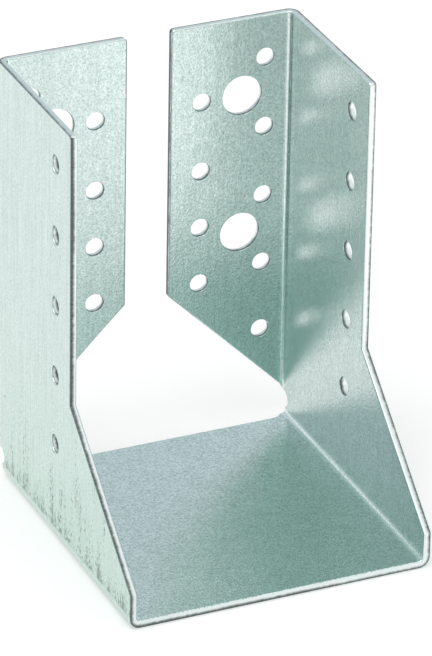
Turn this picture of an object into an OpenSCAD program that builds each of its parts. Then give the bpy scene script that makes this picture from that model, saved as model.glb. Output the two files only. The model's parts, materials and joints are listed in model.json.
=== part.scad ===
// Joist hanger with inward wings: one galvanised steel sheet, punched flat and folded four times.
// The base lies on Z = 0, the joist enters from the front (-Y), and the wings lie against the header (+Y).

/* [Pocket] */
// Clear width between the side plates
joist_w = 80; // [60:1:140]
// Overall height, from the underside of the base to the top edge
height = 120; // [90:1:220]
// Overall depth, from the front edge of the base to the back of the wings
depth = 90; // [75:1:130]

/* [Sheet] */
// Thickness of the sheet
sheet_t = 2; // [1.5:0.1:3]
// Inside radius of every fold
fold_r = 1; // [0.8:0.1:3]
// Place of the neutral fibre in the sheet, as a share of its thickness
neutral_share = 0.45; // [0.3:0.01:0.5]
// Rounding of the free corners of the sheet
corner_r = 1; // [0.3:0.1:2]

/* [Side plates] */
// Depth of a side plate at its top edge
side_top_d = 50; // [42:1:60]
// Height of the knee, where the upright front edge turns into the slanted one
knee_z = 44; // [30:1:60]
// Height of the toe, where the slanted front edge meets the short upright one
toe_z = 10; // [9:0.5:20]
// Distance of the side nail holes behind the upright front edge
side_nail_edge = 10; // [7:0.5:14]

/* [Wings] */
// Slot between the free edges of the two wings
wing_gap = 12.5; // [6:0.5:20]
// Slope of the lower edge of a wing, measured on the flat sheet
wing_slope = 45; // [35:1:50]
// Height of the sloping edge above the bottom fold, where the upright fold begins
notch_lift = 4; // [3:0.1:6]

/* [Relief] */
// Diameter of the relief hole, where the upright and the bottom fold would meet
relief_d = 4.5; // [4:0.1:5]
// Height of the relief hole's centre above the bottom fold
relief_lift = 2.8; // [2.6:0.1:3.2]
// How far the back edge of the base stays in front of the upright fold
base_relief = 2.5; // [2:0.1:3]
// How far the ears at the ends of that edge stay in front of the upright fold
ear_relief = 0.8; // [0.5:0.1:1.2]
// Rounding between that edge and its ears
ear_round = 4; // [3:0.1:5]
// Width of an ear on the flat base
ear_flat = 0.4; // [0.2:0.1:1]

/* [Nail holes] */
// Diameter of a nail hole
nail_d = 5; // [4:0.1:6]
// Spacing of the nail holes in a column
nail_pitch = 20; // [18:0.5:25]
// Distance of the highest nail hole below the top edge
nail_top = 12; // [9:0.5:16]
// Distance of the outer wing nail column from the side plate's outer face
outer_nail_x = 9; // [9:0.1:11]
// Distance of the inner wing nail column from the side plate's outer face
inner_nail_x = 27; // [24.5:0.5:28]
// Spacing of the lower holes in the inner wing nail column
inner_low_pitch = 16.5; // [14:0.5:20]
// Least sheet left between a hole and an edge or a fold
hole_web = 3; // [2:0.5:4]

/* [Bolt holes] */
// Diameter of a bolt hole
bolt_d = 11; // [9:0.5:12]
// Distance of the bolt holes from the side plate's outer face
bolt_x = 15.5; // [15:0.1:16.5]
// Distance of the highest bolt hole below the top edge
bolt_top = 22; // [18:0.5:26]
// Spacing of the bolt holes
bolt_pitch = 40; // [34:1:50]

/* [Hidden] */
$fn = 96;

// How far a cutter runs past the sheet on each side
past = 1;
// How far the notch's cutter runs past the sheet towards the inside of a fold
past_in = fold_r / 2;
// Steps that the notch's edge takes round an upright fold
fold_steps = 12;
// Holes that the inner wing nail column has at the full spacing, and below those at the lower spacing
inner_full_rows = 2;
inner_low_rows = 2;

outer_r = fold_r + sheet_t;
neutral_r = fold_r + neutral_share * sheet_t;
fold_len = neutral_r * PI / 2;
half_in = joist_w / 2;
half_out = half_in + sheet_t;
front_y = -depth / 2;
back_y = depth / 2;
side_front_y = back_y - side_top_d;
side_nail_y = side_front_y + side_nail_edge;
// The upright fold begins here on the side plate, and ends at this distance from the middle on the wing
fold_y = back_y - outer_r;
fold_x = half_out - outer_r;
base_back_y = fold_y - base_relief;
ear_y = fold_y - ear_relief;
// The rounding between the base's back edge and an ear begins at this distance from the middle
ear_reach = sqrt(pow(ear_round, 2) - pow(ear_round - ear_y + base_back_y, 2));
ear_x = fold_x - ear_flat - ear_reach;
relief_z = outer_r + relief_lift;
// The notch's cutter ends half way down the relief hole, below the lower end of the wing
notch_low_z = relief_z - relief_d / 4;
wing_flat = fold_x - wing_gap / 2;
rise = tan(wing_slope);
notch_z = outer_r + notch_lift;

// Height of the wing's lower edge at a distance from the middle of the hanger
function wing_low_z(x) = notch_z + (fold_len + fold_x - x) * rise;

// Heights of a column: evenly spaced from the top one down, as far as the floor allows
function column(top, pitch, floor_z) = [for (z = [top : -pitch : floor_z]) z];

// Lowest centre that leaves enough sheet between a hole and the wing's sloping edge
function wing_floor(x, d) = wing_low_z(x) + (d / 2 + hole_web) / cos(wing_slope);

nail_z = height - nail_top;
side_floor = outer_r + nail_d / 2 + hole_web;
side_nails = column(nail_z, nail_pitch, side_floor);

outer_x = half_out - outer_nail_x;
outer_nails = column(nail_z, nail_pitch, wing_floor(outer_x, nail_d));

bolt_cx = half_out - bolt_x;
bolts = column(height - bolt_top, bolt_pitch, wing_floor(bolt_cx, bolt_d));

// The inner column starts level with the upper bolts and closes up towards its lower end
inner_x = half_out - inner_nail_x;
inner_top = height - bolt_top;
inner_fits = inner_x - nail_d / 2 - hole_web >= wing_gap / 2;
inner_rows = concat(
    [for (i = [0 : inner_full_rows - 1]) i * nail_pitch],
    [for (i = [1 : inner_low_rows]) (inner_full_rows - 1) * nail_pitch + i * inner_low_pitch]
);
inner_floor = wing_floor(inner_x, nail_d);
inner_nails = [for (drop = inner_rows) if (inner_fits && inner_top - drop >= inner_floor) inner_top - drop];

// What is left outside a round corner, with the corner at the origin and the sheet in the +X +Y quarter
module corner_waste(r) {
    difference() {
        translate([-past, -past])
            square(r + past);
        translate([r, r])
            circle(r);
    }
}

// The base and both side plates, seen from the front and drawn out along the depth
module channel() {
    translate([0, ear_y, 0])
        rotate([90, 0, 0])
            linear_extrude(ear_y - front_y)
                difference() {
                    tray_section(half_out, 0, outer_r);
                    tray_section(half_in, sheet_t, fold_r);
                }
}

// A rectangle that stands on the level low, with two round lower corners and a square top
module tray_section(half_w, low, r) {
    translate([-half_w, low + r])
        square([2 * half_w, height - low - r]);
    translate([-half_w + r, low])
        square([2 * (half_w - r), height - low]);
    for (side = [-1, 1])
        translate([side * (half_w - r), low + r])
            circle(r);
}

// One upright fold and its wing, seen from above and drawn out upwards from the relief hole; side is -1 or 1.
// It overlaps the side plate by the length past.
module wing(side) {
    mirrored(side)
        translate([0, 0, relief_z])
            linear_extrude(height - relief_z) {
                translate([half_in, ear_y - past])
                    square([sheet_t, fold_y - ear_y + past]);
                translate([wing_gap / 2, back_y - sheet_t])
                    square([wing_flat, sheet_t]);
                translate([fold_x, fold_y])
                    quarter_ring();
            }
}

// The upright fold's section: a quarter of a ring
module quarter_ring() {
    intersection() {
        difference() {
            circle(outer_r);
            circle(fold_r);
        }
        square(outer_r);
    }
}

// The same shape on the right (1) or mirrored to the left (-1)
module mirrored(side) {
    if (side > 0)
        children();
    else
        mirror([1, 0, 0])
            children();
}

// A stretch across the sheet where the notch's edge runs: a point on the sheet's inner side, one on its
// outer side, and the height of the edge there. The edge is square to the sheet and straight on the flat
// blank, so it winds round the fold.
function on_wing(x) = [[x, back_y - sheet_t - past_in], [x, back_y + past], wing_low_z(x)];
function on_fold(a) = let (c = [fold_x, fold_y], out = [sin(a), cos(a)]) [
    c + (fold_r - past_in) * out,
    c + (outer_r + past) * out,
    notch_z + (fold_len - neutral_r * a * PI / 180) * rise
];
function on_side(y) = [[half_in - past_in, y], [half_out + past, y], notch_z - (fold_y - y) * rise];

// Everything below the sloping edge of the right wing, from its free edge round the fold into the relief hole
module notch() {
    rail = concat(
        [on_wing(wing_gap / 2 - past)],
        [for (i = [0 : fold_steps]) on_fold(90 * i / fold_steps)],
        [on_side(fold_y - relief_d / 4)]
    );
    n = len(rail);
    points = [for (s = rail) each [
        [s[0].x, s[0].y, s[2]],
        [s[1].x, s[1].y, s[2]],
        [s[1].x, s[1].y, notch_low_z],
        [s[0].x, s[0].y, notch_low_z]
    ]];
    walls = [for (i = [0 : n - 2], k = [0 : 3]) [
        4 * i + k,
        4 * i + (k + 1) % 4,
        4 * (i + 1) + (k + 1) % 4,
        4 * (i + 1) + k
    ]];
    ends = [[3, 2, 1, 0], [for (k = [0 : 3]) 4 * (n - 1) + k]];
    polyhedron(points, concat(walls, ends), convexity = 6);
}

// What is cut off behind the base, between its two ears
module base_cut() {
    translate([0, 0, -past])
        linear_extrude(past + sheet_t + past_in) {
            translate([-ear_x, base_back_y])
                square([2 * ear_x, 2 * ear_round]);
            for (side = [-1, 1])
                translate([side * ear_x, base_back_y + ear_round])
                    circle(ear_round);
        }
}

// What is cut off in front of the side plates, seen from the side and cut across the whole width
module front_cut() {
    translate([-half_out - past, 0, 0])
        rotate([90, 0, 90])
            linear_extrude(2 * (half_out + past)) {
                polygon([
                    [front_y, toe_z],
                    [side_front_y, knee_z],
                    [side_front_y, height + past],
                    [front_y - past, height + past],
                    [front_y - past, toe_z]
                ]);
                translate([side_front_y, height])
                    rotate(-90)
                        corner_waste(corner_r);
            }
}

// The round upper corners of the wings' free edges
module wing_corner_cut(side) {
    mirrored(side)
        translate([wing_gap / 2, back_y + past, height])
            rotate([90, 0, 0])
                linear_extrude(sheet_t + 2 * past)
                    rotate(-90)
                        corner_waste(corner_r);
}

// One hole through a wing
module wing_hole(x, z, d) {
    translate([x, back_y + past, z])
        rotate([90, 0, 0])
            cylinder(d = d, h = sheet_t + 2 * past);
}

// One hole through the side plate on the given side
module side_hole(side, y, z, d) {
    translate([side * (half_in + sheet_t / 2), y, z])
        rotate([0, 90, 0])
            cylinder(d = d, h = sheet_t + 2 * past, center = true);
}

module hanger() {
    color([0.72, 0.79, 0.77])
        difference() {
            union() {
                channel();
                for (side = [-1, 1])
                    wing(side);
            }
            front_cut();
            base_cut();
            for (side = [-1, 1]) {
                mirrored(side)
                    notch();
                side_hole(side, fold_y, relief_z, relief_d);
                wing_corner_cut(side);
                for (z = side_nails)
                    side_hole(side, side_nail_y, z, nail_d);
                for (z = outer_nails)
                    wing_hole(side * outer_x, z, nail_d);
                for (z = inner_nails)
                    wing_hole(side * inner_x, z, nail_d);
                for (z = bolts)
                    wing_hole(side * bolt_cx, z, bolt_d);
            }
        }
}

hanger();
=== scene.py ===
# %% [markdown]
# # A joist hanger, punched and folded from one sheet
# A joist hanger carries the end of a floor joist on a header beam. It is a single galvanised steel
# sheet: a press punches the outline and every hole out of the flat sheet, then folds it four times.
# This lesson works in the same order. The sheet is drawn flat, the holes are punched in it, and a
# rule folds it. Every hole, cut edge and scratch then lies where it would on the real one. The
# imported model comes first, because it fixes the size of everything.

# %% Load the frame
import json
import math

import bpy
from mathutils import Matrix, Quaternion, Vector
from mathutils.geometry import delaunay_2d_cdt


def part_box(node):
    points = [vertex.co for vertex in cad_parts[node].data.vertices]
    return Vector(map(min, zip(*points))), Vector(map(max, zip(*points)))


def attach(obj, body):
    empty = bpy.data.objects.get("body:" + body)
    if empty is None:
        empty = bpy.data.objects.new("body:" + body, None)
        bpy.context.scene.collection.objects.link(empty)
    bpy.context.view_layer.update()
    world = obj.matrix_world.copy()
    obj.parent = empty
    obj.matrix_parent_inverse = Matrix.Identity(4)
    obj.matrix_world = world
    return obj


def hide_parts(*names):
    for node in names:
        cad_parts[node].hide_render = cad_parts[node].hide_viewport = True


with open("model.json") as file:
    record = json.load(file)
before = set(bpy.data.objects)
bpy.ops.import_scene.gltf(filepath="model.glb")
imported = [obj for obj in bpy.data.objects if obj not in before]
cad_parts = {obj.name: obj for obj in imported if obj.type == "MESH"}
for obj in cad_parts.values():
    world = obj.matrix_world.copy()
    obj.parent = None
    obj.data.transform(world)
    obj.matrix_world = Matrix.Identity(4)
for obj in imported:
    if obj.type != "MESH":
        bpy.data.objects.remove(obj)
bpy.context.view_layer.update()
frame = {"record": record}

MM = 0.001
low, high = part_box("hanger")
print("CAD box in mm:", [round((b - a) / MM, 2) for a, b in zip(low, high)])

# %% [markdown]
# ## Sizes of the sheet
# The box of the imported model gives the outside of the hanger. A box can't say how thick the sheet
# is, how tight its folds are or where its corners lie, so these are written here, with the names
# that the part's source uses. A fold stretches the outer side of the sheet and squeezes the inner
# side. Only the neutral fibre between them keeps its length, so the flat length of a fold is
# measured along that fibre.

# %% Sheet, folds and corners
sheet_t = 2.0 * MM
fold_r = 1.0 * MM
neutral_share = 0.45
corner_r = 1.0 * MM
side_top_d = 50.0 * MM
knee_z = 44.0 * MM
toe_z = 10.0 * MM
wing_gap = 12.5 * MM
notch_lift = 4.0 * MM
relief_d = 4.5 * MM
relief_lift = 2.8 * MM
base_relief = 2.5 * MM
ear_relief = 0.8 * MM
ear_round = 4.0 * MM
ear_flat = 0.4 * MM

outer_r = fold_r + sheet_t
fold_len = (fold_r + neutral_share * sheet_t) * math.pi / 2
fold_x = high.x - outer_r
fold_y = high.y - outer_r
side_front_y = high.y - side_top_d
base_back_y = fold_y - base_relief
ear_y = fold_y - ear_relief
relief_r = relief_d / 2
print(f"a fold takes {fold_len / MM:.2f} mm of flat sheet")
print(f"the base is {2 * fold_x / MM:.0f} mm wide between its folds")

# %% [markdown]
# ## From the hanger to the flat sheet
# On the flat sheet, u runs across the base and on up a side plate, and v runs from the front edge
# to the back and on along a wing. The third direction, w, goes through the sheet, from its outer
# face to its inner one. Two short functions turn a height on a side plate into u, and a place on a
# wing into v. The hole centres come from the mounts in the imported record, so the punched holes
# can't drift away from those of the CAD model.

# %% Flat places of the holes
def flat_u(z):
    return fold_x + fold_len + z - outer_r


def flat_v(x):
    return fold_y + fold_len + fold_x - x


mounts = {mount["name"]: mount for mount in frame["record"]["mounts"]}


def rows_of(name):
    """Heights of the upper and the lower row of a hole pattern."""
    middle = mounts[name]["pos_m"][2]
    half = mounts[name]["dims"]["spacing_y_mm"] * MM / 2
    return middle + half, middle - half


def line_of(name):
    """Flat place of the column of holes that a wing pattern has on each side."""
    return flat_v(mounts[name]["dims"]["spacing_x_mm"] * MM / 2)


nail_top, nail_bottom = rows_of("header_nails_outer_ends")
nail_pitch = nail_top - rows_of("header_nails_outer_inside")[0]
nail_rows = round((nail_top - nail_bottom) / nail_pitch) + 1
bolt_top, bolt_bottom = rows_of("header_bolts")
inner_top, inner_bottom = rows_of("header_nails_inner_ends")
inner_second, inner_third = rows_of("header_nails_inner_inside")
side_line = mounts["left_side_nails_upper"]["pos_m"][1]

# Each column: its line, its top row, the step down to the next row and the number of rows
nail_columns = [
    (side_line, flat_u(nail_top), nail_pitch, nail_rows),
    (line_of("header_nails_outer_ends"), flat_u(nail_top), nail_pitch, nail_rows),
    (line_of("header_nails_inner_ends"), flat_u(inner_top), inner_top - inner_second, 2),
    (line_of("header_nails_inner_ends"), flat_u(inner_third), inner_third - inner_bottom, 2),
]
bolt_columns = [(line_of("header_bolts"), flat_u(bolt_top), bolt_top - bolt_bottom, 2)]
nail_r = mounts["header_nails_outer_ends"]["dims"]["hole_r_mm"] * MM
bolt_r = mounts["header_bolts"]["dims"]["hole_r_mm"] * MM


def centres(columns):
    """Centres of all holes of one size on the flat sheet, on both sides."""
    right = [(top - i * step, line) for line, top, step, count in columns for i in range(count)]
    return right + [(-u, v) for u, v in right]


print(len(centres(nail_columns)), "nail holes and", len(centres(bolt_columns)), "bolt holes")

# %% [markdown]
# ## The outline
# The outline is a list of corners, walked counter-clockwise on the right half and mirrored for the
# left. Where a fold crosses the outline, the list has a point for each step of the fold, because a
# straight edge can only follow a bend if it has points there. The lower edge of a wing is a
# straight 45 degree line on the flat sheet. It runs into a round relief hole, which keeps the sheet
# from tearing where two folds would meet. Between the two relief holes the back edge of the base is
# cut forward with round ends, and that leaves a small ear on each bottom fold.

# %% Corners of the flat outline
fold_steps = 12
top_u = flat_u(high.z)
tip_v = flat_v(wing_gap / 2)


def fold_lines(start):
    return [start + fold_len * i / fold_steps for i in range(fold_steps + 1)]


relief_u = flat_u(outer_r + relief_lift)


def wing_low_u(v):
    """Lower edge of the upright fold and the wing: the sloping line, or the top of the relief hole."""
    slope = flat_u(outer_r + notch_lift) + v - fold_y
    return max(slope, relief_u + math.sqrt(max(0.0, relief_r ** 2 - (v - fold_y) ** 2)))


def turns_between(start, end, steps):
    return [start + (end - start) * i / steps for i in range(steps + 1)]


relief_steps = 14
relief_turns = turns_between(0.0, math.pi - math.asin(ear_relief / relief_r), relief_steps)
ear_steps = 8
ear_turn = math.acos(1 - (ear_y - base_back_y) / ear_round)
ear_turns = turns_between(ear_turn, 0.0, ear_steps)
ear_x = fold_x - ear_flat - ear_round * math.sin(ear_turn)

right_half = [(u, low.y, 0.0) for u in fold_lines(fold_x)]
right_half += [(flat_u(toe_z), low.y, 0.0), (flat_u(knee_z), side_front_y, 0.0)]
right_half += [(top_u, side_front_y, corner_r)]
right_half += [(top_u, v, 0.0) for v in fold_lines(fold_y)]
right_half += [(top_u, tip_v, corner_r), (wing_low_u(tip_v), tip_v, 0.0)]
right_half += [(wing_low_u(v), v, 0.0) for v in reversed(fold_lines(fold_y))]
right_half += [
    (relief_u + relief_r * math.cos(t), fold_y - relief_r * math.sin(t), 0.0) for t in relief_turns[1:]
]
right_half += [(u, ear_y, 0.0) for u in reversed(fold_lines(fold_x))]
right_half += [
    (ear_x + ear_round * math.sin(t), base_back_y + ear_round * (1 - math.cos(t)), 0.0) for t in ear_turns
]
corners = right_half + [(-u, v, r) for u, v, r in reversed(right_half)]


def round_corner(before, corner, after, radius, steps=6):
    """Points of an arc that takes the place of a corner."""
    back = (before - corner).normalized()
    ahead = (after - corner).normalized()
    half_angle = back.angle(ahead) / 2
    middle = corner + (back + ahead).normalized() * radius / math.sin(half_angle)
    start = (corner + back * radius / math.tan(half_angle) - middle).normalized()
    end = (corner + ahead * radius / math.tan(half_angle) - middle).normalized()
    return [middle + radius * start.slerp(end, i / steps) for i in range(steps + 1)]


outline = []
for number, (u, v, radius) in enumerate(corners):
    corner = Vector((u, v))
    if radius:
        before = Vector(corners[number - 1][:2])
        after = Vector(corners[(number + 1) % len(corners)][:2])
        outline += round_corner(before, corner, after, radius)
    else:
        outline.append(corner)
print(len(outline), "points on the outline")

# %% [markdown]
# ## The rim that a press leaves
# A sheared edge isn't square. On the side where the punch enters, the sheet is drawn down into a
# small round roll-over. Below that comes a smooth burnished band, and then the steel breaks off in
# a rough, slightly slanting fracture with a sharp exit. A bevel would give all edges the same
# round, so the rim is a profile instead, and each of its points has an inset from the edge, a
# height above the exit and a mark that says whether the steel is cut there. How early the steel
# breaks depends on the gap between punch and die, so every point also carries how far above the
# break it lies. The same function sweeps the profile along the outline, which was sheared from the
# inner side, and round every hole, which was punched from the outer one.

# %% Rim profile and its sweep
roll_over = 0.45 * MM
roll_steps = 4
fracture_slant = 0.05 * MM
exit_edge = 0.12 * MM


def rim_profile(broken_share):
    """Inset, height above the exit and cut mark of each point, from the punch to the exit."""
    turns = [math.pi / 2 * i / roll_steps for i in range(roll_steps + 1)]
    points = [
        (roll_over * (1 - math.sin(a)), sheet_t - roll_over * (1 - math.cos(a)), a / turns[-1]) for a in turns
    ]
    points.append((0.0, broken_share * sheet_t, 1.0))
    points.append((fracture_slant, exit_edge, 1.0))
    points.append((fracture_slant + exit_edge, 0.0, 0.0))
    return points


def sweep_rim(edge, inward, shares, verts, marks, from_outside=False):
    """Adds the rim along a closed edge that has the sheet on its left.

    It returns the rows of the rim, from the inner face down.
    """
    first = len(verts)
    levels = list(zip(*(rim_profile(share) for share in shares)))
    for level in reversed(levels) if from_outside else levels:
        for point, way, share, (inset, height, cut) in zip(edge, inward, shares, level):
            verts.append((*(point + inset * way), sheet_t - height if from_outside else height))
            marks.append((cut, height / sheet_t - share))
    return [range(start, start + len(edge)) for start in range(first, len(verts), len(edge))]


def skin(rows):
    """Quads between neighbouring rows."""
    faces = []
    for upper, lower in zip(rows, rows[1:]):
        for i in range(len(upper)):
            j = (i + 1) % len(upper)
            faces.append((upper[i], lower[i], lower[j], upper[j]))
    return faces


def make_sheet_object(name, verts, marks, faces):
    mesh = bpy.data.meshes.new(name)
    mesh.from_pydata(verts, [], faces)
    for mark, values in zip(("cut", "above break"), zip(*marks)):
        mesh.attributes.new(mark, "FLOAT", "POINT").data.foreach_set("value", values)
    piece = bpy.data.objects.new(name, mesh)
    bpy.context.scene.collection.objects.link(piece)
    print(name, "has", len(verts), "points and", len(faces), "faces")
    return piece


# %% [markdown]
# ## Punched holes
# All nail holes are alike, and so are all bolt holes, so each kind is modelled once: a small square
# of sheet with a hole in it. Its inner row is a circle with the rim swept round it, and its outer
# row is the square, which later meets a square opening of the same points in the blank. A boolean
# would also cut holes, but it leaves long thin faces round each of them, and they shade badly on
# shiny metal.

# %% One square of sheet for each kind of hole
# Half of a square's side, and the number of points along a side
nail_patch = (3.3 * MM, 10)
bolt_patch = (6.3 * MM, 14)
hole_broken = 0.50
# Direction of a square's first point from its middle
first_corner = 225


def square_loop(half, per_side):
    """Clockwise points round a square, so that the sheet outside a hole lies on the left."""
    ends = [Vector(c) * half for c in ((-1, -1), (-1, 1), (1, 1), (1, -1))]
    return [a.lerp(b, i / per_side) for a, b in zip(ends, ends[1:] + ends[:1]) for i in range(per_side)]


def punched_square(name, radius, half, per_side):
    outside = square_loop(half, per_side)
    turns = [math.radians(first_corner - 360 * i / len(outside)) for i in range(len(outside))]
    inward = [Vector((math.cos(a), math.sin(a))) for a in turns]
    verts, marks = [], []
    circle = [radius * way for way in inward]
    rows = sweep_rim(circle, inward, [hole_broken] * len(circle), verts, marks, from_outside=True)
    for height in (sheet_t, 0.0):
        rows.append(range(len(verts), len(verts) + len(outside)))
        verts += [(*point, height) for point in outside]
        marks += [(0.0, 0.0)] * len(outside)
    inner_face, outer_face = rows[-2:]
    return make_sheet_object(name, verts, marks, skin([inner_face] + rows[:-2] + [outer_face]))


nail_square = punched_square("nail_hole", nail_r, *nail_patch)
bolt_square = punched_square("bolt_hole", bolt_r, *bolt_patch)

# %% [markdown]
# ## The flat blank
# The blank is the rest of the sheet: the rim along the outline, and an inner and an outer face with
# square openings for the holes. The faces are filled by a constrained Delaunay triangulation. It
# keeps the outline, the openings and the lines of the folds as edges, so the sheet later bends
# along straight lines, as it does in a press brake. The punch sat a little to the right in its die,
# so the left edges broke off earlier than the right ones. The top edges broke late. The free edges
# of the wings were parted from the strip with a wide gap, and they are broken through most of the
# sheet.

# %% Rim of the outline
def mitres(loop):
    """For each point of a closed counter-clockwise loop, the way into the sheet that keeps the inset even."""
    ways = []
    for i, point in enumerate(loop):
        arrive = (point - loop[i - 1]).normalized()
        leave = (loop[(i + 1) % len(loop)] - point).normalized()
        normal_a, normal_b = Vector((-arrive.y, arrive.x)), Vector((-leave.y, leave.x))
        ways.append((normal_a + normal_b) / (1 + normal_a.dot(normal_b)))
    return ways


wing_tip_broken = 0.9
top_broken = 0.40
middle_broken = 0.54
right_breaks_later = 0.19
near_edge = 0.5 * corner_r


def outline_broken(point):
    """Share of the thickness that is broken at a point of the outline."""
    if point.y > tip_v - near_edge:
        return wing_tip_broken
    if abs(point.x) > top_u - near_edge:
        return top_broken
    return middle_broken - right_breaks_later * point.x / top_u


blank_verts, blank_marks = [], []
shares = [outline_broken(point) for point in outline]
blank_rows = sweep_rim(outline, mitres(outline), shares, blank_verts, blank_marks)
print("the rim of the outline has", len(blank_rows), "rows")

# %% Inner and outer face of the blank
openings = [(centre, *nail_patch) for centre in centres(nail_columns)]
openings += [(centre, *bolt_patch) for centre in centres(bolt_columns)]

rim_loop = [Vector(blank_verts[i][:2]) for i in blank_rows[0]]
rim_count = len(rim_loop)
plan = list(rim_loop)
borders = [(i, (i + 1) % rim_count) for i in range(rim_count)]
for centre, half, per_side in openings:
    first = len(plan)
    plan += [Vector(centre) + point for point in square_loop(half, per_side)]
    borders += [(i, i + 1) for i in range(first, len(plan) - 1)] + [(len(plan) - 1, first)]


def at(u, v):
    """Number of the outline's point at a flat place."""
    return min(range(rim_count), key=lambda i: (outline[i] - Vector((u, v))).length)


folds = []
for side in (-1, 1):
    folds += [(at(side * u, low.y), at(side * u, ear_y)) for u in fold_lines(fold_x)]
    folds += [(at(side * top_u, v), at(side * wing_low_u(v), v)) for v in fold_lines(fold_y)]


def inside_outline(point):
    crossings = 0
    for a, b in zip(rim_loop, rim_loop[1:] + rim_loop[:1]):
        if (a.y > point.y) != (b.y > point.y):
            crossings += point.x < a.x + (b.x - a.x) * (point.y - a.y) / (b.y - a.y)
    return crossings % 2 == 1


def in_an_opening(point):
    return any(max(abs(point.x - c[0]), abs(point.y - c[1])) < half for c, half, _ in openings)


fill_all = 0
same_place = 1e-9
places, _, triangles, sources, *_ = delaunay_2d_cdt(plan, borders + folds, [], fill_all, same_place)
inner_face = []
for triangle in triangles:
    middle = sum((places[i] for i in triangle), Vector((0, 0))) / len(triangle)
    if inside_outline(middle) and not in_an_opening(middle):
        inner_face.append([sources[i][0] for i in triangle])
print(len(inner_face), "triangles in each face of the blank")
print(len(places) - len(plan), "points added by the filling")

# %% Close the blank
def on_face(row, height):
    """Numbers of the plan's points on one face: those of a row of the rim, and new ones for the openings."""
    numbers = list(row) + list(range(len(blank_verts), len(blank_verts) + len(plan) - rim_count))
    blank_verts.extend((*point, height) for point in plan[rim_count:])
    blank_marks.extend([(0.0, 0.0)] * (len(plan) - rim_count))
    return numbers


upper = on_face(blank_rows[0], sheet_t)
lower = on_face(blank_rows[-1], 0.0)
blank_faces = skin(blank_rows)
blank_faces += [tuple(upper[i] for i in triangle) for triangle in inner_face]
blank_faces += [tuple(lower[i] for i in reversed(triangle)) for triangle in inner_face]
blank = make_sheet_object("hanger_sheet", blank_verts, blank_marks, blank_faces)

# %% [markdown]
# ## Helpers for node trees
# Both the finish and the folding are node trees. Written node by node they are long, so two helpers
# shorten them: one adds a node and fills its inputs, the other adds a Math node and hands back its
# result, so that a formula reads almost as it would on paper. The smaller ones below them build on
# these two.

# %% Node helpers
def add_node(tree, kind, *values, named=None, **options):
    """Adds a node, sets its options and fills its inputs with plain values or with sockets to join."""
    node = tree.nodes.new(kind)
    for name, value in options.items():
        setattr(node, name, value)
    wanted = list(zip(node.inputs, values))
    wanted += [(node.inputs[name], value) for name, value in (named or {}).items()]
    for socket, value in wanted:
        if isinstance(value, bpy.types.NodeSocket):
            tree.links.new(value, socket)
        elif value is not None:
            socket.default_value = value
    return node


def calc(tree, operation, *values, clamp=False):
    return add_node(tree, "ShaderNodeMath", *values, operation=operation, use_clamp=clamp).outputs[0]


def spread(tree, value, from_low, from_high, to_low=0.0, to_high=1.0):
    """Moves a value from one range to another and holds it there."""
    return add_node(tree, "ShaderNodeMapRange", value, from_low, from_high, to_low, to_high).outputs[0]


def noise(tree, place, scale, detail=2.0, roughness=0.5):
    """Noise with one scale for all directions, or with one for each."""
    if isinstance(scale, tuple):
        place = add_node(tree, "ShaderNodeMapping", named={"Vector": place, "Scale": scale}).outputs[0]
        scale = 1.0
    named = {"Vector": place, "Scale": scale, "Detail": detail, "Roughness": roughness}
    return add_node(tree, "ShaderNodeTexNoise", named=named).outputs[0]


def mix_colours(tree, factor, first, second):
    """Mixes two colours. The five inputs after the factor are for other kinds of value."""
    return add_node(tree, "ShaderNodeMix", factor, *[None] * 5, first, second, data_type="RGBA").outputs[2]


def new_material(name):
    material = bpy.data.materials.new(name)
    material.use_nodes = True
    material.node_tree.nodes.clear()
    return material, material.node_tree


def metal_surface(tree, colour, roughness, height):
    """Joins a bare metal to the output of a material; height is the relief of its surface."""
    named = {"Strength": 1.0, "Distance": 1.0, "Height": height}
    bump = add_node(tree, "ShaderNodeBump", named=named).outputs[0]
    named = {"Base Color": colour, "Metallic": 1.0, "Roughness": roughness, "Normal": bump}
    shader = add_node(tree, "ShaderNodeBsdfPrincipled", named=named).outputs[0]
    add_node(tree, "ShaderNodeOutputMaterial", shader)


print("node helpers ready")

# %% [markdown]
# ## The grain of the zinc
# Galvanised sheet is covered by fine crystals that catch the light one by one, so it looks speckled
# and not plain grey. The rollers of the mill also leave faint streaks along the sheet. Both belong
# to the sheet before it is folded, so the pattern reads the flat place of each point. A node group
# holds it, because the zinc faces and the cut edges both use it.

# %% Node group: zinc grain
# Scales are per metre of flat sheet. A range is the stretch of a noise that is spread from dark to light.
fine_scale = (1500.0, 2100.0, 1800.0)
coarse_scale = (1600.0, 1000.0, 1000.0)
fine_share = 0.6
speckle_range = (0.37, 0.63)
crystal_scale = 420.0
crystal_shades = 3.0
streak_scale = (30.0, 1200.0, 1.0)
streak_range = (0.3, 0.7)
streak_limits = (0.2, 0.8)
wave_scale = 38.0

grain = bpy.data.node_groups.new("zinc grain", "ShaderNodeTree")
grain.interface.new_socket("Flat place", in_out="INPUT", socket_type="NodeSocketVector")
for output in ("Speckle", "Crystal", "Streak", "Wave"):
    grain.interface.new_socket(output, in_out="OUTPUT", socket_type="NodeSocketFloat")
sheet_place = grain.nodes.new("NodeGroupInput").outputs["Flat place"]
fine = noise(grain, sheet_place, fine_scale, detail=3.0, roughness=0.65)
coarse = noise(grain, sheet_place, coarse_scale, detail=3.0, roughness=0.65)
coarse = calc(grain, "MULTIPLY", coarse, 1.0 - fine_share)
speckle = calc(grain, "ADD", calc(grain, "MULTIPLY", fine, fine_share), coarse)
speckle = spread(grain, speckle, *speckle_range)
cells = add_node(grain, "ShaderNodeTexVoronoi", named={"Vector": sheet_place, "Scale": crystal_scale})
crystal = calc(grain, "FRACT", calc(grain, "MULTIPLY", cells.outputs["Color"], crystal_shades))
streak = noise(grain, sheet_place, streak_scale, detail=3.0, roughness=0.6)
streak = spread(grain, streak, *streak_range, *streak_limits)
wave = noise(grain, sheet_place, wave_scale, detail=1.0)
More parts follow.
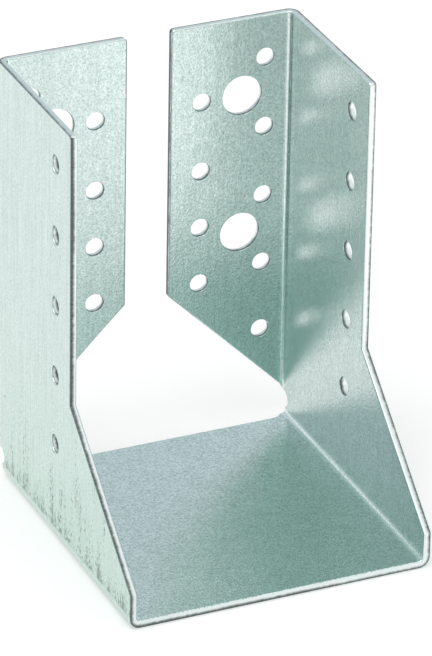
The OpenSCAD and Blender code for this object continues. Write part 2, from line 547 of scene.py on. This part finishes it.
add_node(grain, "NodeGroupOutput", speckle, crystal, streak, wave)
print("zinc grain:", len(grain.nodes), "nodes")

# %% [markdown]
# ## The zinc faces
# Zinc is a metal, so nearly all its look is reflection: in white surroundings the outside is pale,
# and inside, where light bounces from plate to plate, each bounce takes away a little red and the
# surface turns darker and greener. That comes by itself from a base colour a little poorer in red
# than in green. The speckle, crystals and streaks change the colour and the roughness slightly. The
# streaks are strongest on the outer face, which slid over the die. The base hardly touched it and
# stays brighter. The nose of the tool polished the inside of each fold, so it is smoother there, and
# its colour is made lighter there too, as a painted highlight. Just above the bottom folds the die
# left small dark hits in upright clusters. Towards the bottom folds the outer face also turns a
# little greener and darker.

# %% Material: zinc face
zinc_light = (0.850, 0.945, 0.925, 1.0)
zinc_dark = (0.400, 0.520, 0.490, 1.0)
speck_colour = (0.330, 0.420, 0.395, 1.0)
scuff_colour = (0.260, 0.325, 0.300, 1.0)
scuff_reach = 48.0 * MM
# The outer face turns greener and darker towards the bottom folds, fading out over this height
low_tint_colour = (0.500, 0.720, 0.570, 1.0)
low_tint_reach = 65.0 * MM

zinc, tree = new_material("zinc_face")
flat = add_node(tree, "ShaderNodeAttribute", attribute_name="flat").outputs["Vector"]
u, v, w = add_node(tree, "ShaderNodeSeparateXYZ", flat).outputs
speckle, crystal, streak, wave = add_node(tree, "ShaderNodeGroup", flat, node_tree=grain).outputs

# Scuffs: small dark hits on the outer face, in narrow upright clusters and in a band above the bottom fold.
# They are dark where a noise is high. A gain raises or lowers that noise, so it makes hits denser or rarer.
outer_end = (0.2 * sheet_t, 0.3 * sheet_t)
plate_start = (0.2 * MM, 1.0 * MM)
hit_scale = (700.0, 1500.0, 1.0)
hit_range = (0.60, 0.78)
cluster_scale = (45.0, 260.0, 1.0)
cluster_range = (0.40, 0.70)
cluster_gain = (-0.10, 0.16)
reach_gain = (0.06, -0.14)
band_end = (1.0 * MM, 7.0 * MM)
band_gain = 0.13
outer_side = spread(tree, w, *outer_end, 1.0, 0.0)
up_the_plate = calc(tree, "SUBTRACT", calc(tree, "ABSOLUTE", u), fold_x + fold_len)
reach = spread(tree, up_the_plate, 0.0, scuff_reach, *reach_gain)
band = spread(tree, up_the_plate, *band_end, band_gain, 0.0)
hits = noise(tree, flat, hit_scale, roughness=0.6)
cluster = noise(tree, flat, cluster_scale)
cluster = spread(tree, cluster, *cluster_range, *cluster_gain)
hits = calc(tree, "ADD", calc(tree, "ADD", hits, cluster), calc(tree, "ADD", reach, band))
on_plate = calc(tree, "MULTIPLY", spread(tree, up_the_plate, *plate_start), outer_side)
scuff = calc(tree, "MULTIPLY", spread(tree, hits, *hit_range), on_plate)

# Inner side of the folds, polished by the nose of the tool: smoother, and lighter in colour as a painted
# highlight
fold_middle = 0.5 * fold_len
polish_half = 0.6 * fold_len
in_low_fold = calc(tree, "COMPARE", calc(tree, "ABSOLUTE", u), fold_x + fold_middle, polish_half)
in_upright_fold = calc(tree, "COMPARE", v, fold_y + fold_middle, polish_half)
fold_polish_and_highlight = calc(tree, "MAXIMUM", in_low_fold, in_upright_fold)

# Tone of the zinc: the grain, with more streaks on the sides and the outer face, and a brighter base
speck_scale = 2000.0
speck_range = (0.58, 0.68)
inner_specks, outer_specks = 1.0, 0.3
speck_share = 0.9
crystal_share = 0.15
inner_streaks, outer_streaks = 0.30, 0.45
base_tone, side_tone = 0.16, -0.05
# Lighter colour on the inner side of the folds: a painted highlight
painted_highlight_tone = 0.35
low_tint_share = 0.28
specks = spread(tree, noise(tree, flat, speck_scale, roughness=0.6), *speck_range, 0.0, speck_share)
specks = calc(tree, "MULTIPLY", specks, spread(tree, outer_side, 0.0, 1.0, inner_specks, outer_specks))
tone = calc(tree, "MULTIPLY", speckle, 1.0 - crystal_share)
tone = calc(tree, "ADD", tone, calc(tree, "MULTIPLY", crystal, crystal_share))
on_sides = spread(tree, up_the_plate, -fold_len, 0.0)
streak_share = spread(tree, outer_side, 0.0, 1.0, inner_streaks, outer_streaks)
streak_share = calc(tree, "MULTIPLY", on_sides, streak_share)
tone = add_node(tree, "ShaderNodeMix", streak_share, named={"A": tone, "B": streak}).outputs[0]
tone = calc(tree, "ADD", tone, spread(tree, on_sides, 0.0, 1.0, base_tone, side_tone))
# Painted highlight: the inner side of the folds is made lighter in colour
painted_fold_highlight = calc(tree, "MULTIPLY", fold_polish_and_highlight, spread(tree, outer_side, 0.0, 1.0, painted_highlight_tone, 0.0))
tone = calc(tree, "ADD", tone, painted_fold_highlight, clamp=True)
colour = mix_colours(tree, tone, zinc_dark, zinc_light)
# The outer face turns greener and darker towards the bottom folds
low_tint = spread(tree, up_the_plate, 0.0, low_tint_reach, low_tint_share, 0.0)
low_tint = calc(tree, "MULTIPLY", low_tint, outer_side)
colour = mix_colours(tree, low_tint, colour, low_tint_colour)
colour = mix_colours(tree, specks, colour, speck_colour)
colour = mix_colours(tree, scuff, colour, scuff_colour)

# Roughness and relief
dark_rough, light_rough = 0.26, 0.18
scuff_rough = 0.2
polish_smooth = 0.08
speckle_height = 0.02 * MM
wave_height = 0.22 * MM
roughness = spread(tree, tone, 0.0, 1.0, dark_rough, light_rough)
roughness = calc(tree, "ADD", roughness, calc(tree, "MULTIPLY", scuff, scuff_rough))
roughness = calc(tree, "SUBTRACT", roughness, calc(tree, "MULTIPLY", fold_polish_and_highlight, polish_smooth))
height = calc(tree, "MULTIPLY", speckle, speckle_height)
height = calc(tree, "ADD", height, calc(tree, "MULTIPLY", wave, wave_height))
metal_surface(tree, colour, roughness, height)
print("zinc face:", len(tree.nodes), "nodes")

# %% [markdown]
# ## The cut edges
# The zinc was on the sheet before it was punched, so a cut edge is bare steel with a little zinc
# dragged over it. Its two zones look different: the burnished band is smooth and bright, and the
# fracture below it is rough and dark. The steel gets darker the further it lies below the break.
# The rim carries that distance, and noise makes it ragged.

# %% Material: cut edge
burnish_colour = (0.780, 0.850, 0.835, 1.0)
fracture_colour = (0.075, 0.092, 0.092, 1.0)
burnish_rough, fracture_rough = 0.26, 0.52
speckle_rough = 0.06
ragged_scale = (600.0, 600.0, 80.0)
ragged_share = 0.45
uneven_scale = 60.0
uneven_share = 0.3
break_range = (-0.30, 0.04)
score_scale = (2600.0, 2600.0, 120.0)
score_range = (0.3, 0.7)
score_shades = (0.80, 1.0)
score_height = 0.015 * MM

cut_edge, tree = new_material("cut_edge")
flat = add_node(tree, "ShaderNodeAttribute", attribute_name="flat").outputs["Vector"]
above_break = add_node(tree, "ShaderNodeAttribute", attribute_name="above break").outputs["Fac"]
speckle = add_node(tree, "ShaderNodeGroup", flat, node_tree=grain).outputs["Speckle"]
ragged = noise(tree, flat, ragged_scale, detail=4.0, roughness=0.65)
ragged = calc(tree, "MULTIPLY", ragged, ragged_share)
uneven = calc(tree, "MULTIPLY", noise(tree, flat, uneven_scale), uneven_share)
mean_jump = (ragged_share + uneven_share) / 2
jumps = calc(tree, "SUBTRACT", calc(tree, "ADD", ragged, uneven), mean_jump)
above_break = calc(tree, "ADD", above_break, jumps)
broken = spread(tree, above_break, *break_range, 1.0, 0.0)
score = noise(tree, flat, score_scale)
shade = calc(tree, "MULTIPLY", broken, spread(tree, score, *score_range, *score_shades))
colour = mix_colours(tree, shade, burnish_colour, fracture_colour)
roughness = spread(tree, broken, 0.0, 1.0, burnish_rough, fracture_rough)
roughness = calc(tree, "ADD", roughness, calc(tree, "MULTIPLY", speckle, speckle_rough))
height = calc(tree, "MULTIPLY", score, score_height)
metal_surface(tree, colour, roughness, height)
print("cut edge:", len(tree.nodes), "nodes")

# %% [markdown]
# ## Punch and fold
# The holes repeat in columns, and the whole hanger is a flat sheet bent by one rule, so both are
# Geometry Nodes. The tree lays out a Mesh Line for each column, mirrors it, puts a punched square
# on every point and welds the squares into the blank. It keeps the flat place of every point as an
# attribute for the finish. Then it moves each point by the rule of the folds: across a fold, u or v
# becomes an angle, and a point turns round the axis of the fold at its own radius. The inner face
# therefore gets a tighter bend than the outer one, as in real sheet.

# %% Tree inputs
sharp_from = math.radians(38)
fold_tree = bpy.data.node_groups.new("punch and fold", "GeometryNodeTree")
fold_tree.interface.new_socket("Geometry", in_out="OUTPUT", socket_type="NodeSocketGeometry")
tree_values = {
    "Blank": ("NodeSocketGeometry", None),
    "Nail hole": ("NodeSocketObject", nail_square),
    "Bolt hole": ("NodeSocketObject", bolt_square),
    "Zinc face": ("NodeSocketMaterial", zinc),
    "Cut edge": ("NodeSocketMaterial", cut_edge),
    "Fold line across": ("NodeSocketFloat", fold_x),
    "Fold line along": ("NodeSocketFloat", fold_y),
    "Fold length": ("NodeSocketFloat", fold_len),
    "Fold outer radius": ("NodeSocketFloat", outer_r),
    "Sharp from": ("NodeSocketFloat", sharp_from),
}
nail_names = ["Side nails", "Outer nails", "Inner nails", "Inner low nails"]
bolt_names = ["Bolts"]
for name, (line, top, step, count) in zip(nail_names + bolt_names, nail_columns + bolt_columns):
    tree_values[f"{name} line"] = ("NodeSocketFloat", line)
    tree_values[f"{name} top"] = ("NodeSocketFloat", top)
    tree_values[f"{name} step"] = ("NodeSocketFloat", step)
    tree_values[f"{name} rows"] = ("NodeSocketInt", count)
for name, (kind, value) in tree_values.items():
    fold_tree.interface.new_socket(name, in_out="INPUT", socket_type=kind)
given = fold_tree.nodes.new("NodeGroupInput").outputs
print(len(tree_values), "named inputs")

# %% Punch: columns of holes welded into the blank
def hole_column(name):
    """A line of points on both halves of the flat sheet."""
    top, line = given[f"{name} top"], given[f"{name} line"]
    start = add_node(fold_tree, "ShaderNodeCombineXYZ", top, line).outputs[0]
    down = calc(fold_tree, "MULTIPLY", given[f"{name} step"], -1.0)
    offset = add_node(fold_tree, "ShaderNodeCombineXYZ", down).outputs[0]
    named = {"Count": given[f"{name} rows"], "Start Location": start, "Offset": offset}
    right = add_node(fold_tree, "GeometryNodeMeshLine", named=named).outputs[0]
    named = {"Geometry": right, "Scale": (-1.0, 1.0, 1.0)}
    left = add_node(fold_tree, "GeometryNodeTransform", named=named).outputs[0]
    return [right, left]


def join(parts):
    node = add_node(fold_tree, "GeometryNodeJoinGeometry")
    for part in parts:
        fold_tree.links.new(part, node.inputs[0])
    return node.outputs[0]


def punched(names, hole):
    points = join([half for name in names for half in hole_column(name)])
    square = add_node(fold_tree, "GeometryNodeObjectInfo", given[hole]).outputs["Geometry"]
    named = {"Points": points, "Instance": square}
    placed = add_node(fold_tree, "GeometryNodeInstanceOnPoints", named=named)
    return add_node(fold_tree, "GeometryNodeRealizeInstances", placed.outputs[0]).outputs[0]


weld_reach = 0.02 * MM
holes = [punched(nail_names, "Nail hole"), punched(bolt_names, "Bolt hole")]
welded = add_node(
    fold_tree, "GeometryNodeMergeByDistance",
    named={"Geometry": join([given["Blank"]] + holes), "Distance": weld_reach},
).outputs[0]
place = add_node(fold_tree, "GeometryNodeInputPosition").outputs[0]
marked = add_node(
    fold_tree, "GeometryNodeStoreNamedAttribute", data_type="FLOAT_VECTOR", domain="POINT",
    named={"Geometry": welded, "Name": "flat", "Value": place},
).outputs[0]
print("punching:", len(fold_tree.nodes), "nodes")

# %% Fold: the rule
def fold_angle(distance, start):
    """Angle of the fold at a flat distance: nothing before the fold, a right angle after it."""
    inside = calc(fold_tree, "SUBTRACT", distance, start)
    share = calc(fold_tree, "DIVIDE", inside, given["Fold length"], clamp=True)
    return calc(fold_tree, "MULTIPLY", share, math.pi / 2)


def past_fold(distance, start):
    after = calc(fold_tree, "SUBTRACT", distance, calc(fold_tree, "ADD", start, given["Fold length"]))
    return calc(fold_tree, "MAXIMUM", after, 0.0)


u, v, w = add_node(fold_tree, "ShaderNodeSeparateXYZ", place).outputs
across = calc(fold_tree, "ABSOLUTE", u)
radius = calc(fold_tree, "SUBTRACT", given["Fold outer radius"], w)
rise = fold_angle(across, given["Fold line across"])
turn = fold_angle(v, given["Fold line along"])

base_part = calc(fold_tree, "MINIMUM", across, given["Fold line across"])
bent_up = calc(fold_tree, "MULTIPLY", radius, calc(fold_tree, "SINE", rise))
bent_in = calc(fold_tree, "SUBTRACT", 1.0, calc(fold_tree, "COSINE", turn))
bent_in = calc(fold_tree, "MULTIPLY", radius, bent_in)
wing_part = past_fold(v, given["Fold line along"])
from_middle = calc(fold_tree, "SUBTRACT", calc(fold_tree, "ADD", base_part, bent_up), bent_in)
from_middle = calc(fold_tree, "SUBTRACT", from_middle, wing_part)
x = calc(fold_tree, "MULTIPLY", from_middle, calc(fold_tree, "SIGN", u))

bent_back = calc(fold_tree, "MULTIPLY", radius, calc(fold_tree, "SINE", turn))
y = calc(fold_tree, "ADD", calc(fold_tree, "MINIMUM", v, given["Fold line along"]), bent_back)

dropped = calc(fold_tree, "MULTIPLY", radius, calc(fold_tree, "COSINE", rise))
above_fold = calc(fold_tree, "SUBTRACT", given["Fold outer radius"], dropped)
z = calc(fold_tree, "ADD", above_fold, past_fold(across, given["Fold line across"]))

new_place = add_node(fold_tree, "ShaderNodeCombineXYZ", x, y, z).outputs[0]
named = {"Geometry": marked, "Position": new_place}
folded = add_node(fold_tree, "GeometryNodeSetPosition", named=named).outputs[0]
print("folding:", len(fold_tree.nodes), "nodes")

# %% Smooth bends, sharp corners and the two materials
smooth = add_node(fold_tree, "GeometryNodeSetShadeSmooth", folded).outputs[0]
edge_angle = add_node(fold_tree, "GeometryNodeInputMeshEdgeAngle").outputs[0]
sharp = calc(fold_tree, "GREATER_THAN", edge_angle, given["Sharp from"])
creased = add_node(fold_tree, "GeometryNodeSetShadeSmooth", smooth, sharp, False, domain="EDGE").outputs[0]
bare_from = 0.6
bare = add_node(fold_tree, "GeometryNodeInputNamedAttribute", "cut", data_type="FLOAT").outputs[0]
bare = calc(fold_tree, "GREATER_THAN", bare, bare_from)
coated = add_node(fold_tree, "GeometryNodeSetMaterial", creased, True, given["Zinc face"]).outputs[0]
finished = add_node(fold_tree, "GeometryNodeSetMaterial", coated, bare, given["Cut edge"]).outputs[0]
add_node(fold_tree, "NodeGroupOutput", finished)
print("punch and fold:", len(fold_tree.nodes), "nodes")

# %% [markdown]
# ## Run the press
# The tree runs as a modifier on the blank. Its inputs are set by identifier, because names can be
# changed later. A Weighted Normal modifier then lets the large flat faces decide the shading, so
# the plates look flat right up to the folds and the rims catch thin highlights. The result becomes
# a plain mesh, which stands for the CAD node.

# %% Fold the blank into the hanger
for sheet in (blank, nail_square, bolt_square):
    sheet.data.materials.append(zinc)
press = blank.modifiers.new("punch and fold", "NODES")
press.node_group = fold_tree
for item in fold_tree.interface.items_tree:
    if item.in_out == "INPUT" and item.name != "Blank":
        press[item.identifier] = tree_values[item.name][1]
blank.modifiers.new("flat plates", "WEIGHTED_NORMAL").keep_sharp = True

depsgraph = bpy.context.evaluated_depsgraph_get()
hanger_mesh = bpy.data.meshes.new_from_object(
    blank.evaluated_get(depsgraph), preserve_all_data_layers=True, depsgraph=depsgraph
)
blank.modifiers.clear()
blank.data = hanger_mesh
for square in (nail_square, bolt_square):
    bpy.data.objects.remove(square)

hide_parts("hanger")
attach(blank, "root")
loose = [edge for edge in hanger_mesh.edges if edge.is_loose]
print(len(hanger_mesh.polygons), "faces and", len(loose), "loose edges")
print("materials", [material.name for material in hanger_mesh.materials])

# %% [markdown]
# ## Floor and light
# Shiny metal shows its surroundings, so they are part of the finish. The hanger stands in a plain
# white studio: the world is white to the camera, and dimmer as a lamp, so that the floor keeps a
# soft shadow. Reflections also see grey walls between the white floor and the white ceiling.
# Without them the inside of the hanger would have no shades. The floor glows a little for the
# camera and for reflections, just enough to reach white where nothing shades it. In reflections its
# front is brighter on the right than on the left, as it is beside a lamp.

# %% White surroundings
world = bpy.data.worlds.new("white studio")
bpy.context.scene.world = world
world.use_nodes = True
tree = world.node_tree
tree.nodes.clear()


def seen_or_mirrored(tree):
    """1 for rays from the camera, from shiny surfaces or through glass, 0 for rays that only light things."""
    rays = add_node(tree, "ShaderNodeLightPath").outputs
    seen = calc(tree, "MAXIMUM", rays["Is Camera Ray"], rays["Is Glossy Ray"])
    return calc(tree, "MAXIMUM", seen, rays["Is Transmission Ray"])


sky_light = 0.70
back_wall = (0.61, 0.68, 0.72, 1.0)
front_right_wall = (0.97, 1.00, 1.00, 1.0)
front_left_wall = (0.62, 0.77, 0.74, 1.0)
white = (1.0, 1.0, 1.0, 1.0)
# Parts of a direction between which one piece of the studio passes into the next
sweep_end = (0.05, 0.30)
ceiling_start = (0.70, 0.88)
left_to_right = (-0.15, 0.25)
front_to_back = (-0.4, 0.4)
way = add_node(tree, "ShaderNodeTexCoord").outputs["Generated"]
way_right, way_back, way_up = add_node(tree, "ShaderNodeSeparateXYZ", way).outputs
mirrored = add_node(tree, "ShaderNodeLightPath").outputs["Is Glossy Ray"]
above_sweep = spread(tree, way_up, *sweep_end)
below_ceiling = spread(tree, way_up, *ceiling_start, 1.0, 0.0)
on_wall = calc(tree, "MULTIPLY", calc(tree, "MULTIPLY", above_sweep, below_ceiling), mirrored)
to_right = spread(tree, way_right, *left_to_right)
front_wall = mix_colours(tree, to_right, front_left_wall, front_right_wall)
to_back = spread(tree, way_back, *front_to_back)
wall = mix_colours(tree, to_back, front_wall, back_wall)
colour = mix_colours(tree, on_wall, white, wall)
strength = spread(tree, seen_or_mirrored(tree), 0.0, 1.0, sky_light, 1.0)
background = add_node(tree, "ShaderNodeBackground", colour, strength)
add_node(tree, "ShaderNodeOutputWorld", background.outputs[0])
print("the world lights at", sky_light)

# %% Floor
floor_half = 4.0
floor_drop = 0.1 * MM
floor_glow = 0.24
front_left_dim = 0.2
front_right_glow = 0.3
# Places on the floor, in metres, between which its glow changes
front_start = (-0.10, -0.02)
left_start = (-0.05, -0.01)
right_start = (0.03, 0.11)
floor_mesh = bpy.data.meshes.new("floor")
floor_corners = [
    (x * floor_half, y * floor_half, -floor_drop) for x, y in ((-1, -1), (1, -1), (1, 1), (-1, 1))
]
floor_mesh.from_pydata(floor_corners, [], [(0, 1, 2, 3)])
floor = bpy.data.objects.new("floor", floor_mesh)
bpy.context.scene.collection.objects.link(floor)

paper_colour = (0.9, 0.9, 0.9, 1.0)
paper_rough = 0.9
paper, tree = new_material("pale_floor")
here_x, here_y, _ = add_node(
    tree, "ShaderNodeSeparateXYZ", add_node(tree, "ShaderNodeTexCoord").outputs["Object"]
).outputs
in_front = spread(tree, here_y, *front_start, 1.0, 0.0)
on_left = spread(tree, here_x, *left_start, -front_left_dim, 0.0)
on_right = spread(tree, here_x, *right_start, 0.0, front_right_glow)
to_the_right = calc(tree, "ADD", on_left, on_right)
mirrored = add_node(tree, "ShaderNodeLightPath").outputs["Is Glossy Ray"]
front_light = calc(tree, "MULTIPLY", calc(tree, "MULTIPLY", in_front, to_the_right), mirrored)
glow = calc(tree, "ADD", calc(tree, "MULTIPLY", seen_or_mirrored(tree), floor_glow), front_light)
shader = add_node(
    tree, "ShaderNodeBsdfPrincipled",
    named={"Base Color": paper_colour, "Roughness": paper_rough, "Specular IOR Level": 0.0},
)
light = add_node(tree, "ShaderNodeEmission", white, glow)
both = add_node(tree, "ShaderNodeAddShader", shader.outputs[0], light.outputs[0])
add_node(tree, "ShaderNodeOutputMaterial", both.outputs[0])
floor_mesh.materials.append(paper)
print("floor", 2 * floor_half, "m square")

# %% Soft lamp
lamp_place = Vector((-0.5, -0.2, 2.0))
lamp_target = Vector((0.0, 0.0, 0.06))
lamp_size = 1.6
lamp_power = 12.0
lamp = bpy.data.lights.new("top_lamp", "AREA")
lamp.shape = "DISK"
lamp.size = lamp_size
lamp.energy = lamp_power
lamp_holder = bpy.data.objects.new("top_lamp", lamp)
lamp_holder.location = lamp_place
lamp_holder.rotation_euler = (lamp_target - lamp_place).to_track_quat("-Z", "Y").to_euler()
bpy.context.scene.collection.objects.link(lamp_holder)
print("top lamp", lamp_power, "W")

# %% [markdown]
# ## Camera
# The photograph was taken from far away with a long lens, from the left front and above, and its
# uprights were straightened afterwards. A longer lens comes closest to that without moving the lens
# off the middle of the frame. The place and the slight tilt of the frame come from a fit to the
# outline and the holes. The frame is taller than wide, so the sensor size spans its height.

# %% Camera
photo_height_px = 656
focal_px = 5500.0
camera_turn = math.radians(-24.3)
camera_rise = math.radians(27.9)
camera_tilt = math.radians(1.0)
camera_distance = 1.4115
camera_aim = Vector((0.00073, 0.0, 0.0556))

camera_data = bpy.data.cameras.new("camera")
camera_data.sensor_width = 36.0
camera_data.lens = focal_px * camera_data.sensor_width / photo_height_px
camera = bpy.data.objects.new("camera", camera_data)
back = Vector((
    math.sin(camera_turn) * math.cos(camera_rise),
    -math.cos(camera_turn) * math.cos(camera_rise),
    math.sin(camera_rise),
))
camera.location = camera_aim + camera_distance * back
camera.rotation_euler = (back.to_track_quat("Z", "Y") @ Quaternion((0, 0, 1), camera_tilt)).to_euler()
bpy.context.scene.collection.objects.link(camera)
bpy.context.scene.camera = camera
bpy.context.scene.view_settings.view_transform = "Standard"
print(f"lens {camera_data.lens:.1f} mm")
